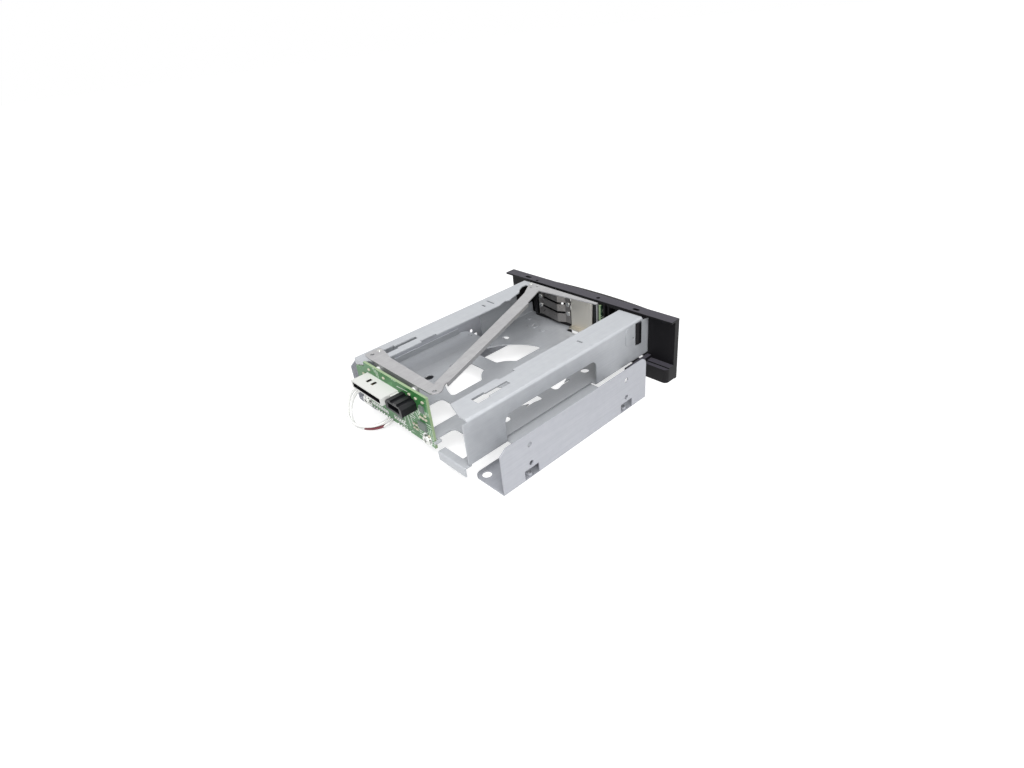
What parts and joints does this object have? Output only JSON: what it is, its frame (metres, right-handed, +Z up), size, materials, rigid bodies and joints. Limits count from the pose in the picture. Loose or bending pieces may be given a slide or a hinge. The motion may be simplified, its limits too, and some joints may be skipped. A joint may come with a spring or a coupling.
{
  "type": "hot swap drive cage",
  "caption": "Sheet steel tray with side brackets, rear circuit board and a hinged front door that takes one removable drive in a wide bay",
  "frame": {"origin": "centre of the four screw holes in the brackets' feet, on the plane of the feet's undersides", "axes": "+X to the object's left seen from the front, +Y to the rear where the circuit board is, +Z up; the door is on the -Y side"},
  "size_m": [0.1484, 0.1756, 0.0422],
  "materials": {
    "steel_sheet": "satin zinc-plated steel sheet",
    "bracket_steel": "satin zinc-plated steel sheet",
    "brace_steel": "satin zinc-plated steel sheet",
    "zinc_fastener": "bright zinc-plated steel",
    "board_green": "green solder mask over glass fibre",
    "white_plastic": "satin off-white nylon",
    "black_plastic": "satin black",
    "gold_contact": "gold-plated contacts",
    "tin_solder": "tinned",
    "chip_black": "moulded epoxy",
    "passive_beige": "sintered ceramic",
    "bezel_black": "fine-grained black",
    "door_black": "fine-grained black",
    "spring_steel": "bright spring steel",
    "nickel_sheet": "nickel-plated sheet",
    "lamp_clear": "clear lamp body",
    "cable_white": "smooth white sheath"
  },
  "bodies": {
    "cage": {"cage_tray": "steel_sheet", "bracket_left": "bracket_steel", "bracket_right": "bracket_steel", "top_brace": "brace_steel", "brace_rivets": "zinc_fastener", "backplane_board": "board_green", "board_screws": "zinc_fastener", "board_spacers": "white_plastic", "power_socket": "white_plastic", "power_socket_tongue": "black_plastic", "power_contacts": "gold_contact", "data_socket": "black_plastic", "data_contacts": "gold_contact", "drive_receptacle": "black_plastic", "receptacle_contacts": "gold_contact", "solder_pins": "tin_solder", "board_chips": "chip_black", "board_passives": "passive_beige", "wire_header": "white_plastic", "front_header": "white_plastic", "led_cable_inner": "cable_white", "led_cable_outer": "cable_white", "front_bezel": "bezel_black", "hinge_pins": "zinc_fastener"},
    "door": {"drive_door": "door_black", "door_spring": "spring_steel", "door_rivets": "zinc_fastener", "door_plate": "nickel_sheet", "door_strip_black": "black_plastic", "door_strip_steel": "brace_steel", "door_board": "board_green", "door_leds": "lamp_clear", "latch_pin": "zinc_fastener", "latch_spring": "spring_steel"},
    "latch": {"latch_lever": "door_black"}
  },
  "joints": [
    {"name": "door_hinge", "type": "hinge", "parent": "cage", "child": "door", "pos_m": [0.049, -0.08833, 0.0274], "axis": [0, 0, 1], "range_deg": [0, 95]},
    {"name": "latch_pivot", "type": "hinge", "parent": "door", "child": "latch", "pos_m": [-0.044, -0.09102, 0.0274], "axis": [0, 0, 1], "range_deg": [-15, 0], "stiffness_Nm_per_rad": 0.02}
  ]
}
